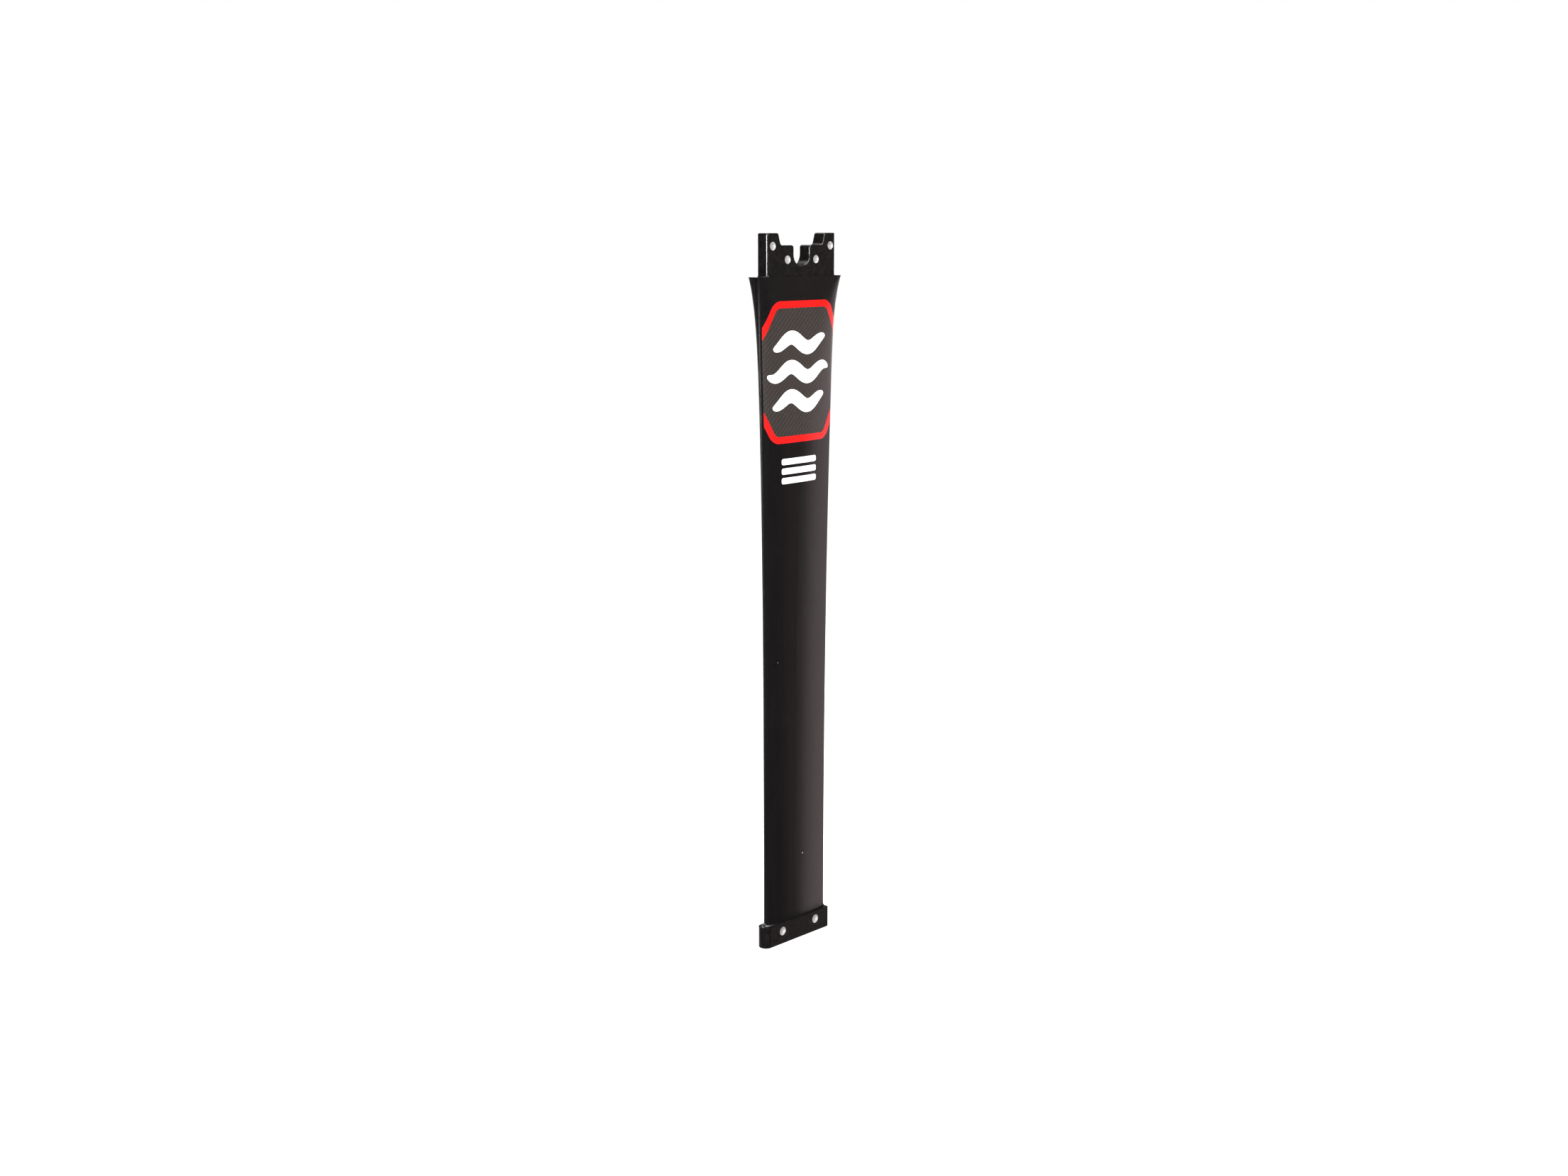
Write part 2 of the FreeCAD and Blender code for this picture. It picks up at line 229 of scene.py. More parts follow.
def softbox(name, angle, rise, distance, size, watts):
    """An area lamp that looks at the middle of the mast from an angle round it."""
    lamp = bpy.data.lights.new(name, "AREA")
    lamp.shape = "RECTANGLE"
    lamp.size, lamp.size_y = size
    lamp.energy = watts
    lamp_object = bpy.data.objects.new(name, lamp)
    level = math.cos(rise)
    way = Vector((math.cos(angle) * level, math.sin(angle) * level, math.sin(rise)))
    lamp_object.location = Vector((0, 0, half_height)) + way * distance
    lamp_object.rotation_euler = (-way).to_track_quat("-Z", "Y").to_euler()
    scene.collection.objects.link(lamp_object)


for name, angle, rise, distance, size, watts in SOFTBOXES:
    softbox(name, math.radians(angle), math.radians(rise), distance, size, watts)

# %% Floor
FLOOR_RADIUS = 6.0
FLOOR_DROP = 0.0002
FLOOR_SIDES = 96
FLOOR_LOOK = {
    "Base Color": (0.85, 0.85, 0.85, 1), "Roughness": 0.9,
    "Emission Color": (1, 1, 1, 1), "Emission Strength": 1.0,
}
floor_material = bpy.data.materials.new("pale_floor")
floor_material.use_nodes = True
floor_shader = floor_material.node_tree.nodes["Principled BSDF"]
for socket, value in FLOOR_LOOK.items():
    floor_shader.inputs[socket].default_value = value
bm = bmesh.new()
bmesh.ops.create_circle(bm, cap_ends=True, segments=FLOOR_SIDES, radius=FLOOR_RADIUS)
floor_mesh = bpy.data.meshes.new("floor")
bm.to_mesh(floor_mesh)
bm.free()
floor = bpy.data.objects.new("floor", floor_mesh)
floor_mesh.materials.append(floor_material)
floor.location.z = -FLOOR_DROP
floor.visible_glossy = False
scene.collection.objects.link(floor)
print("floor", FLOOR_RADIUS * 2, "m across")

# %% [markdown]
# ## Shared effects
# Wear, scratches, dust, weave and the like turn up in more than one finish. Each is a node group
# that is built once. A group puts out masks, tones and heights only, so every material can use
# them with its own strength.

# %% Group builder
def new_group(name, inputs, outputs):
    """An empty shader group with its named sockets, and its input and output nodes."""
    group = bpy.data.node_groups.new(name, "ShaderNodeTree")
    for label, value in inputs.items():
        socket = group.interface.new_socket(name=label, in_out="INPUT",
                                            socket_type="NodeSocketFloat")
        socket.default_value = value
    for label in outputs:
        group.interface.new_socket(name=label, in_out="OUTPUT", socket_type="NodeSocketFloat")
    given = group.nodes.new("NodeGroupInput").outputs
    return group, given, group.nodes.new("NodeGroupOutput").inputs


def use_group(tree, group, **values):
    """Places a group in a material, and returns its outputs."""
    placed = add(tree, "Group", node_tree=group)
    for label, value in values.items():
        placed.inputs[label].default_value = value
    return placed.outputs


print("group builder ready")

# %% [markdown]
# A satin clear coat isn't perfectly flat. It has a very shallow orange peel, and hands and water
# leave it a little duller in places. Two noises at different sizes do both.

# %% Satin coat group
SMEAR_STRETCH = (30, 30, 9)
SMEAR_EDGE = (0.42, 0.72)

satin_coat, given, out = new_group("satin_coat", {"Peel Size": 0.0028}, ["Height", "Smudge"])
peel_scale = calc(satin_coat, "DIVIDE", 1.0, given["Peel Size"])
peel = add(satin_coat, "TexNoise",
           {"Vector": place(satin_coat), "Scale": peel_scale, "Detail": 2.0})
satin_coat.links.new(peel.outputs["Fac"], out["Height"])
smears = add(satin_coat, "TexNoise", {"Vector": stretched(satin_coat, SMEAR_STRETCH),
                                      "Scale": 1.0, "Detail": 4.0, "Roughness": 0.6})
satin_coat.links.new(smooth_step(satin_coat, smears.outputs["Fac"], *SMEAR_EDGE), out["Smudge"])
print("satin_coat:", len(satin_coat.nodes), "nodes")

# %% [markdown]
# Handling leaves hairline scratches. Each set is a noise stretched until it is all thin lines,
# and only its highest crests count. A second noise breaks the lines up, so none runs on for
# ever.

# %% Scratch group
# Degrees of turn, then how often the noise changes per metre along the lines and across them
HAIRLINE_SETS = ((12, 14, 2600), (-63, 22, 3400), (81, 10, 2100))
HAIRLINE_DEPTHWISE = 200
HAIRLINE_CREST = (0.72, 0.78)
SCRATCHED_PATCHES = 55.0
PATCH_EDGE = (0.5, 0.62)

hairlines, given, out = new_group("hairlines", {"Amount": 0.5}, ["Mask"])
sets = []
for turn, long_scale, fine_scale in HAIRLINE_SETS:
    turned = add(hairlines, "Mapping", {"Vector": place(hairlines),
                                        "Rotation": (0, math.radians(turn), 0),
                                        "Scale": (fine_scale, HAIRLINE_DEPTHWISE, long_scale)})
    lines = add(hairlines, "TexNoise", {"Vector": turned.outputs[0], "Scale": 1.0, "Detail": 1.0})
    sets.append(smooth_step(hairlines, lines.outputs["Fac"], *HAIRLINE_CREST))
either = calc(hairlines, "MAXIMUM", calc(hairlines, "MAXIMUM", sets[0], sets[1]), sets[2])
patches = add(hairlines, "TexNoise",
              {"Vector": place(hairlines), "Scale": SCRATCHED_PATCHES, "Detail": 2.0})
broken = calc(hairlines, "MULTIPLY", either,
              smooth_step(hairlines, patches.outputs["Fac"], *PATCH_EDGE))
hairlines.links.new(calc(hairlines, "MULTIPLY", broken, given["Amount"]), out["Mask"])
print("hairlines:", len(hairlines.nodes), "nodes")

# %% [markdown]
# Edges rub first. The Bevel node gives the normal of a rounded edge, and where that turns away
# from the true normal there is an edge. A noise then eats into the mask, because real wear is
# patchy.

# %% Edge wear group
EDGE_TURN = (0.95, 0.80)
WEAR_GRAIN = 420.0
WEAR_SOFTNESS = 0.12

worn_edges, given, out = new_group("worn_edges", {"Width": 0.0006, "Patchiness": 0.5}, ["Mask"])
rounded = add(worn_edges, "Bevel", {"Radius": given["Width"]}, samples=4).outputs[0]
true_normal = add(worn_edges, "NewGeometry").outputs["Normal"]
turned = add(worn_edges, "VectorMath", {0: rounded, 1: true_normal}, operation="DOT_PRODUCT")
edge = smooth_step(worn_edges, turned.outputs["Value"], *EDGE_TURN)
chips = add(worn_edges, "TexNoise",
            {"Vector": place(worn_edges), "Scale": WEAR_GRAIN, "Detail": 3.0})
kept = smooth_step(worn_edges, chips.outputs["Fac"], given["Patchiness"],
                   calc(worn_edges, "ADD", given["Patchiness"], WEAR_SOFTNESS))
worn_edges.links.new(calc(worn_edges, "MULTIPLY", edge, kept), out["Mask"])
print("worn_edges:", len(worn_edges.nodes), "nodes")

# %% [markdown]
# A little dust settles on black in any studio. Voronoi cells give every speck its own place, a
# second value per cell decides which cells hold one, and all the rest stay clean.

# %% Dust group
DUST_CELLS = 130.0
SPECK_EDGE = (0.06, 0.03)

dust, given, out = new_group("dust", {"Share": 0.04}, ["Mask"])
cells = add(dust, "TexVoronoi", {"Vector": place(dust), "Scale": DUST_CELLS, "Randomness": 1.0})
speck = smooth_step(dust, cells.outputs["Distance"], *SPECK_EDGE)
chance = add(dust, "SeparateXYZ", {0: cells.outputs["Color"]}).outputs["X"]
chosen = calc(dust, "LESS_THAN", chance, given["Share"])
dust.links.new(calc(dust, "MULTIPLY", speck, chosen), out["Mask"])
print("dust:", len(dust.nodes), "nodes")

# %% [markdown]
# Twill cloth passes over two tows and under two, one step further along in each row, which makes
# its diagonal lines. Counting the tows both ways and taking the sum modulo four gives exactly
# that, and the rounded back of each tow is half a sine wave across it.

# %% Twill group
TWILL_REPEAT = 4.0
TOWS_PASSED = 2.0
UNDER_TONE = 0.45

twill, given, out = new_group("twill", {"Tow": 0.002}, ["Tone", "Height"])
axes = add(twill, "SeparateXYZ", {0: place(twill)}).outputs
across = calc(twill, "DIVIDE", axes["X"], given["Tow"])
along = calc(twill, "DIVIDE", axes["Z"], given["Tow"])
count = calc(twill, "ADD", calc(twill, "FLOOR", across), calc(twill, "FLOOR", along))
over = calc(twill, "LESS_THAN", calc(twill, "FLOORED_MODULO", count, TWILL_REPEAT), TOWS_PASSED)
backs = []
for way in (across, along):
    backs.append(calc(twill, "SINE", calc(twill, "MULTIPLY", calc(twill, "FRACT", way), math.pi)))
back = add(twill, "Mix", {"Factor": over, "A": backs[1], "B": backs[0]}).outputs[0]
twill.links.new(back, out["Height"])
level = calc(twill, "MULTIPLY_ADD", over, 1 - UNDER_TONE, UNDER_TONE)
tone = calc(twill, "MULTIPLY", level, back)
twill.links.new(tone, out["Tone"])
print("twill:", len(twill.nodes), "nodes")

# %% [markdown]
# The solid blocks at both ends are pressed from chopped carbon. Its chips lie at all angles, and
# each one catches the light in its own way. Two layers of Voronoi cells, bent by a noise, make
# the chips: each cell's own colour gives its chip a tone and a gloss.

# %% Chopped carbon group
BEND_GRAIN = 240.0
BEND_REACH = (0.0016, 0.0016, 0.0016)
CHIP_LAYERS = ((25, (1.0, 1.0, 0.7)), (-50, (0.75, 1.0, 1.0)))

chopped, given, out = new_group("chopped", {"Chip": 0.003}, ["Tone", "Gloss", "Height"])
bend = add(chopped, "TexNoise", {"Vector": place(chopped), "Scale": BEND_GRAIN, "Detail": 2.0})
bent = add(chopped, "VectorMath", {0: bend.outputs["Color"], 1: BEND_REACH, 2: place(chopped)},
           operation="MULTIPLY_ADD").outputs[0]
chip_scale = calc(chopped, "DIVIDE", 1.0, given["Chip"])
layers = []
for turn, squeeze in CHIP_LAYERS:
    laid = add(chopped, "Mapping", {"Vector": bent, "Rotation": (0, math.radians(turn), 0),
                                    "Scale": squeeze})
    layers.append(add(chopped, "TexVoronoi", {"Vector": laid.outputs[0], "Scale": chip_scale}))
first = add(chopped, "SeparateXYZ", {0: layers[0].outputs["Color"]}).outputs
second = add(chopped, "SeparateXYZ", {0: layers[1].outputs["Color"]}).outputs
top = calc(chopped, "GREATER_THAN", first["Z"], 0.5)
tone = add(chopped, "Mix", {"Factor": top, "A": second["X"], "B": first["X"]}).outputs[0]
gloss = add(chopped, "Mix", {"Factor": top, "A": second["Y"], "B": first["Y"]}).outputs[0]
chopped.links.new(tone, out["Tone"])
chopped.links.new(gloss, out["Gloss"])
chopped.links.new(tone, out["Height"])
print("chopped:", len(chopped.nodes), "nodes")

# %% [markdown]
# ## Finishes
# Each finish is a Principled shader. What changes over the surface is mixed from the groups, and
# what stays the same is set on the shader's own socket. All depths and distances here are in
# metres. The rubbed grey and the depth of the coat belong to several finishes, so they are named
# first.

# %% Finish builder
RUBBED_GREY = (0.028, 0.026, 0.025, 1)
COAT_DEPTH = 0.000005


def new_finish(name, **constants):
    """A material with its Principled shader, whose fixed values are set by socket name."""
    material = bpy.data.materials.new(name)
    material.use_nodes = True
    shader = material.node_tree.nodes["Principled BSDF"]
    for socket, value in constants.items():
        shader.inputs[socket.replace("_", " ")].default_value = value
    return material, material.node_tree, shader


def blend_colours(tree, mask, under, over):
    """One colour where the mask is 0 and another where it is 1."""
    return add(tree, "MixRGB", {"Fac": mask, "Color1": under, "Color2": over}).outputs[0]


def bump(tree, height, depth, below=None):
    """A Bump node whose full height stands that many metres proud."""
    sockets = {"Height": height, "Strength": 1.0, "Distance": depth}
    if below is not None:
        sockets["Normal"] = below
    return add(tree, "Bump", sockets).outputs[0]


def roughness_from(tree, shader, base, *changes):
    """Starts from a base roughness and adds each (mask, change)."""
    total = base
    for mask, change in changes:
        total = calc(tree, "MULTIPLY_ADD", mask, change, total)
    tree.links.new(total, shader.inputs["Roughness"])


print("finish builder ready")

# %% [markdown]
# The skins are laid up from straight carbon tows under a satin coat. Hardly anything of the tows
# shows: faint streaks that run along the mast, in black that is slightly warm. A knock low on
# the port side has left one small pale nick.

# %% Satin skin
DEEP_BLACK = (0.0030, 0.0026, 0.0026, 1)
SOFT_BLACK = (0.0044, 0.0038, 0.0037, 1)
DUST_GREY = (0.55, 0.54, 0.52, 1)
SKIN_ROUGHNESS = 0.24
TOW_STRETCH = (900, 900, 9)
STREAK_EDGE = (0.35, 0.7)
SCRATCH_DEPTH = 0.000004
SEAM_HALF_WIDTH = 0.00022
SEAM_RISE = 0.00003
NICK_AT = (-0.0044, 0.0070, 0.1034)
NICK_EDGE = (0.0009, 0.0006)

satin_skin, tree, shader = new_finish("satin_skin")
tows = add(tree, "TexNoise", {"Vector": stretched(tree, TOW_STRETCH), "Scale": 1.0, "Detail": 3.0})
streaks = smooth_step(tree, tows.outputs["Fac"], *STREAK_EDGE)
wear = use_group(tree, worn_edges, Width=0.0007, Patchiness=0.5)["Mask"]
specks = use_group(tree, dust, Share=0.012)["Mask"]
lines = use_group(tree, hairlines, Amount=0.25)["Mask"]
coat = use_group(tree, satin_coat)
sideways = add(tree, "SeparateXYZ", {0: place(tree)}).outputs["Y"]
seam = smooth_step(tree, calc(tree, "ABSOLUTE", sideways), SEAM_HALF_WIDTH, 0.0)
colour = blend_colours(tree, streaks, DEEP_BLACK, SOFT_BLACK)
colour = blend_colours(tree, wear, colour, RUBBED_GREY)
colour = blend_colours(tree, lines, colour, RUBBED_GREY)
colour = blend_colours(tree, specks, colour, DUST_GREY)
from_nick = add(tree, "VectorMath", {0: place(tree), 1: NICK_AT}, operation="DISTANCE")
nick = smooth_step(tree, from_nick.outputs["Value"], *NICK_EDGE)
colour = blend_colours(tree, nick, colour, DUST_GREY)
tree.links.new(colour, shader.inputs["Base Color"])
roughness_from(tree, shader, SKIN_ROUGHNESS,
               (coat["Smudge"], 0.03), (streaks, 0.006), (lines, 0.10), (seam, 0.2))
normal = bump(tree, coat["Height"], COAT_DEPTH)
normal = bump(tree, lines, -SCRATCH_DEPTH, normal)
normal = bump(tree, seam, SEAM_RISE, normal)
tree.links.new(normal, shader.inputs["Normal"])
print("satin_skin ready")

# %% Pressed carbon blocks
CHIP_DARK = (0.0026, 0.0023, 0.0023, 1)
CHIP_LIGHT = (0.0075, 0.0066, 0.0063, 1)
CHIP_DEPTH = 0.0000006
BLOCK_ROUGHNESS = 0.20

pressed_carbon, tree, shader = new_finish("pressed_carbon")
chips = use_group(tree, chopped, Chip=0.0024)
wear = use_group(tree, worn_edges, Width=0.0008, Patchiness=0.54)["Mask"]
lines = use_group(tree, hairlines, Amount=0.4)["Mask"]
coat = use_group(tree, satin_coat)
colour = blend_colours(tree, chips["Tone"], CHIP_DARK, CHIP_LIGHT)
colour = blend_colours(tree, wear, colour, RUBBED_GREY)
colour = blend_colours(tree, lines, colour, RUBBED_GREY)
tree.links.new(colour, shader.inputs["Base Color"])
roughness_from(tree, shader, BLOCK_ROUGHNESS,
               (chips["Gloss"], 0.02), (coat["Smudge"], 0.02), (lines, 0.02))
normal = bump(tree, chips["Height"], CHIP_DEPTH)
normal = bump(tree, coat["Height"], COAT_DEPTH, normal)
tree.links.new(normal, shader.inputs["Normal"])
print("pressed_carbon ready")

# %% [markdown]
# The print lies under the same satin coat, so its gloss and its scratches are much alike. Ink is
# never quite even, so a fine mottle moves it a few percent either way.

# %% Printed inks
INK_ROUGHNESS = 0.27
INK_GRAIN = 900.0
MOTTLE_EDGE = (0.3, 0.6)
SCRATCHED_TONE = 0.8


def printed_ink(name, thin, full):
    """An even ink under the satin coat, a touch thinner here and there."""
    material, tree, shader = new_finish(name)
    mottle = add(tree, "TexNoise", {"Vector": place(tree), "Scale": INK_GRAIN, "Detail": 3.0})
    lines = use_group(tree, hairlines, Amount=0.2)["Mask"]
    coat = use_group(tree, satin_coat)
    even = smooth_step(tree, mottle.outputs["Fac"], *MOTTLE_EDGE)
    colour = blend_colours(tree, even, thin, full)
    scratched = tuple(SCRATCHED_TONE * value for value in full[:3]) + (1,)
    colour = blend_colours(tree, lines, colour, scratched)
    tree.links.new(colour, shader.inputs["Base Color"])
    roughness_from(tree, shader, INK_ROUGHNESS, (coat["Smudge"], 0.04), (lines, 0.10))
    tree.links.new(bump(tree, coat["Height"], COAT_DEPTH), shader.inputs["Normal"])
    return material


red_ink = printed_ink("red_ink", (0.47, 0.002, 0.001, 1), (0.54, 0.003, 0.002, 1))
white_ink = printed_ink("white_ink", (0.84, 0.84, 0.83, 1), (0.90, 0.90, 0.89, 1))
print("inks:", red_ink.name, white_ink.name)

# %% Woven panel
WEAVE_DARK = (0.009, 0.007, 0.006, 1)
WEAVE_LIGHT = (0.042, 0.034, 0.030, 1)
WEAVE_DEPTH = 0.00003
WEAVE_ROUGHNESS = 0.34

woven_panel, tree, shader = new_finish("woven_panel")
cloth = use_group(tree, twill, Tow=0.0016)
coat = use_group(tree, satin_coat)
lines = use_group(tree, hairlines, Amount=0.2)["Mask"]
colour = blend_colours(tree, cloth["Tone"], WEAVE_DARK, WEAVE_LIGHT)
tree.links.new(colour, shader.inputs["Base Color"])
roughness_from(tree, shader, WEAVE_ROUGHNESS, (coat["Smudge"], 0.05), (lines, 0.12))
normal = bump(tree, cloth["Height"], WEAVE_DEPTH)
normal = bump(tree, coat["Height"], COAT_DEPTH, normal)
tree.links.new(normal, shader.inputs["Normal"])
print("woven_panel ready")

# %% [markdown]
# The bolt sleeves are turned stainless steel. A lathe leaves fine rings on the end faces and
# round the bore, so the pattern follows an attribute that counts how far along the profile a
# point lies.

# %% Turned steel
STEEL_STAINED = (0.82, 0.81, 0.80, 1)
STEEL_CLEAN = (0.95, 0.95, 0.95, 1)
STEEL_ROUGHNESS = 0.42
RINGS_PER_METRE = 6500.0
RING_DEPTH = 0.000012
STAIN_GRAIN = 350.0

turned_steel, tree, shader = new_finish("turned_steel", Metallic=1.0)
run = add(tree, "Attribute", attribute_name="turning").outputs["Fac"]
rings = add(tree, "TexNoise", {"W": calc(tree, "MULTIPLY", run, RINGS_PER_METRE), "Scale": 1.0,
                               "Detail": 3.0}, noise_dimensions="1D").outputs["Fac"]
stain = add(tree, "TexNoise",
            {"Vector": place(tree), "Scale": STAIN_GRAIN, "Detail": 3.0}).outputs["Fac"]
colour = blend_colours(tree, stain, STEEL_STAINED, STEEL_CLEAN)
tree.links.new(colour, shader.inputs["Base Color"])
roughness_from(tree, shader, STEEL_ROUGHNESS, (rings, 0.16), (stain, 0.08))
tree.links.new(bump(tree, rings, RING_DEPTH), shader.inputs["Normal"])
print("turned_steel ready")

# %% [markdown]
# What is left is the painted shade round the sleeves, laminate, filler and foam, and most of it is
# inside. Each has one noise that moves its colour and its height. In the laminate and the edge
# filler the noise is stretched along the mast, which makes fibres of it, and it moves the gloss
# too.

# %% Painted shade, laminate, filler and foam
def clotted(name, texture, output, scale, options, dark, light, depth, **constants):
    """A material of clots or bubbles, even in its gloss."""
    material, tree, shader = new_finish(name, **constants)
    clots = add(tree, texture, {"Vector": place(tree), "Scale": scale, **options}).outputs[output]
    tree.links.new(blend_colours(tree, clots, dark, light), shader.inputs["Base Color"])
    tree.links.new(bump(tree, clots, depth), shader.inputs["Normal"])
    return material


def fibrous(name, stretch, detail, dark, light, base, change, depth):
    """Straight fibres in resin, which move the colour, the gloss and the height."""
    material, tree, shader = new_finish(name)
    fibres = add(tree, "TexNoise", {"Vector": stretched(tree, stretch), "Scale": 1.0,
                                    "Detail": detail}).outputs["Fac"]
    tree.links.new(blend_colours(tree, fibres, dark, light), shader.inputs["Base Color"])
    roughness_from(tree, shader, base, (fibres, change))
    tree.links.new(bump(tree, fibres, depth), shader.inputs["Normal"])
    return material


# Painted shade: a black that is darker and duller than the blocks, with little specular, for the
# rings round the sleeve mouths.
painted_shade_black = clotted("painted_shade_black", "TexNoise", "Fac", 600.0, {"Detail": 3.0},
                     dark=(0.0010, 0.0010, 0.0010, 1), light=(0.0030, 0.0028, 0.0028, 1),
                     depth=0.00004, Roughness=0.4, Specular_IOR_Level=0.12)
spar_laminate = fibrous("spar_laminate", stretch=(1500, 1500, 12), detail=4.0,
                        dark=(0.006, 0.006, 0.007, 1), light=(0.05, 0.05, 0.052, 1),
                        base=0.35, change=0.3, depth=0.00005)
edge_resin = fibrous("edge_resin", stretch=(700, 700, 60), detail=5.0,
                     dark=(0.02, 0.02, 0.022, 1), light=(0.11, 0.11, 0.115, 1),
                     base=0.45, change=0.2, depth=0.00006)
core_foam = clotted("core_foam", "TexVoronoi", "Distance", 1400.0, {},
                    dark=(0.62, 0.56, 0.38, 1), light=(0.88, 0.83, 0.64, 1),
                    depth=0.0002, Roughness=0.85)
print("inner finishes:", [m.name for m in (painted_shade_black, spar_laminate, edge_resin, core_foam)])

# %% [markdown]
# ## Finishes on the CAD parts
# The record says which material slot each CAD part has, so one table from slot to finish covers
# them.

# %% Put the finishes on
FINISH_OF_SLOT = {
    "skin_carbon": satin_skin, "block_carbon": pressed_carbon, "spar_carbon": spar_laminate,
    "edge_filler": edge_resin, "core_foam": core_foam, "sleeve_steel": turned_steel,
    "print_red": red_ink, "print_white": white_ink, "panel_weave": woven_panel,
}
for part in frame["record"]["subparts"]:
    mesh = nodes[part["node"]].data
    mesh.materials.clear()
    mesh.materials.append(FINISH_OF_SLOT[part["material_slot"]])

# %% [markdown]
# ## New pieces
# A new piece becomes an object at the origin, with its place in its mesh, and rides on the
# mast's one body. Edges that fold sharply stay sharp, and all the rest is shaded smooth.

# %% Piece builder
SHARP_FOLD = math.radians(35)
WELD = 0.001 * MM


def new_piece(name, bm, slot, finish=None):
    """Turns a bmesh into a piece of the mast with the finish of its slot."""
    for face in bm.faces:
        face.smooth = True
    for edge in bm.edges:
        if len(edge.link_faces) == 2 and edge.calc_face_angle(0) > SHARP_FOLD:
            edge.smooth = False
    mesh = bpy.data.meshes.new(name)
    bm.to_mesh(mesh)
    bm.free()
    mesh.materials.append(finish or FINISH_OF_SLOT[slot])
    piece = bpy.data.objects.new(name, mesh)
    scene.collection.objects.link(piece)
    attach(piece, "root")
    print(f"{name}: {len(mesh.polygons)} faces")
    return piece


def spin_about_y(bm, centre, steps):
    """Turns the drawn profile once round a line through centre, as a lathe would."""
    bmesh.ops.spin(bm, geom=bm.verts[:] + bm.edges[:], cent=centre, axis=(0, 1, 0),
                   angle=2 * math.pi, steps=steps, use_merge=True)
    bmesh.ops.remove_doubles(bm, verts=bm.verts[:], dist=WELD)
    bmesh.ops.recalc_face_normals(bm, faces=bm.faces[:])


print("piece builder ready")

# %% [markdown]
# ### Bolt sleeves
# A sleeve is a short tube with a chamfer at each mouth that leads the bolt in. The profile is a
# rectangle with its two bore corners bevelled, and a spin makes it round. It replaces the plain
# CAD tube.

# %% Turned sleeves
BORE_RADIUS = 4.1 * MM
MOUTH_CHAMFER = 0.28 * MM
LATHE_STEPS = 72


def turned_sleeve(node):
    """A chamfered steel sleeve in the place of the CAD one."""
    low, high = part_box(node)
    centre = (low + high) / 2
    outer = (high.x - low.x) / 2
    half = (high.y - low.y) / 2
    bm = bmesh.new()
    profile = ((BORE_RADIUS, -half), (outer, -half), (outer, half), (BORE_RADIUS, half))
    corners = [bm.verts.new(centre + Vector((radius, y, 0))) for radius, y in profile]
    bm.faces.new(corners)
    mouths = [corners[0], corners[3]]
    bmesh.ops.bevel(bm, geom=mouths, offset=MOUTH_CHAMFER, offset_type="OFFSET", segments=2,
                    profile=0.5, affect="VERTICES", material=-1)
    bmesh.ops.delete(bm, geom=bm.faces[:], context="FACES_ONLY")
    spin_about_y(bm, centre, LATHE_STEPS)
    run = bm.verts.layers.float.new("turning")
    for vert in bm.verts:
        away = Vector((vert.co.x - centre.x, 0, vert.co.z - centre.z)).length
        vert[run] = away + vert.co.y
    piece = new_piece(node + "_turned", bm, "sleeve_steel")
    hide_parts(node)


sleeve_nodes = sorted(name for name in nodes if name.endswith("_sleeve"))
for name in sleeve_nodes:
    turned_sleeve(name)

# %% [markdown]
# ### Shade rings
# A fine ring of dull black round each mouth, wider at the foot, is painted shade for the dark rim
# round each hole. Its profile rises a little above the face of the block and closes below it.

# %% Painted shade round the sleeves
SHADE_RING_IN = 0.10 * MM
HEAD_SHADE_RING_OUT = 0.75 * MM
FOOT_SHADE_RING_OUT = 1.20 * MM
SHADE_RING_RISE = 0.06 * MM
SHADE_RING_SINK = 0.05 * MM
SHADE_RING_SLOPE = 0.6


def painted_shade_ring(node):
    """A thin ring of painted shade, in dull black, round both mouths of a sleeve."""
    low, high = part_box(node)
    centre = (low + high) / 2
    outer = (high.x - low.x) / 2
    reach = FOOT_SHADE_RING_OUT if "foot" in node else HEAD_SHADE_RING_OUT
    bm = bmesh.new()
    for side, face_y in ((-1, low.y), (1, high.y)):
        points = ((outer - SHADE_RING_IN, -SHADE_RING_SINK), (outer - SHADE_RING_IN, SHADE_RING_RISE / 2),
                  (outer, SHADE_RING_RISE), (outer + reach * SHADE_RING_SLOPE, SHADE_RING_RISE * SHADE_RING_SLOPE),
                  (outer + reach, -SHADE_RING_SINK))
        ring = [bm.verts.new((centre.x + radius, face_y + side * rise, centre.z))
                for radius, rise in points]
        for i in range(len(ring)):
            bm.edges.new((ring[i - 1], ring[i]))
    spin_about_y(bm, centre, LATHE_STEPS)
    # Painted shade: the dull black ring stands for the shadow round the mouth of the hole.
    new_piece(node + "_painted_shade_ring", bm, "edge_filler", painted_shade_black)


for name in sleeve_nodes:
    painted_shade_ring(name)

# %% [markdown]
# ### Fillet at the tongue's root
# Where the tongue leaves the shoulder the mould has a small hollow fillet. It starts as the
# outline of its foot, and insets that step inwards and upwards draw the hollow curve against the
# tongue.

# %% Tongue root fillet
TONGUE_HALF_WIDTH = 57.5 * MM
TONGUE_HALF_THICKNESS = 8.0 * MM
TONGUE_CORNER = 3.0 * MM
ROOT_RADIUS = 1.35 * MM
ROOT_STEPS = 6
ROOT_SINK = 0.5 * MM

shoulder_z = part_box("port_skin")[1].z
bm = bmesh.new()
reach_x = TONGUE_HALF_WIDTH + ROOT_RADIUS
reach_y = TONGUE_HALF_THICKNESS + ROOT_RADIUS
corners = [bm.verts.new((x * reach_x, y * reach_y, shoulder_z - ROOT_SINK))
           for x, y in ((-1, -1), (1, -1), (1, 1), (-1, 1))]
bm.faces.new(corners)
bmesh.ops.bevel(bm, geom=corners, offset=TONGUE_CORNER + ROOT_RADIUS, offset_type="OFFSET",
                segments=8, profile=0.5, affect="VERTICES", material=-1)
walls = bmesh.ops.extrude_face_region(bm, geom=bm.faces[:])
lid = [item for item in walls["geom"] if isinstance(item, bmesh.types.BMFace)]
lid_points = list({vert for face in lid for vert in face.verts})
bmesh.ops.translate(bm, verts=lid_points, vec=(0, 0, ROOT_SINK))
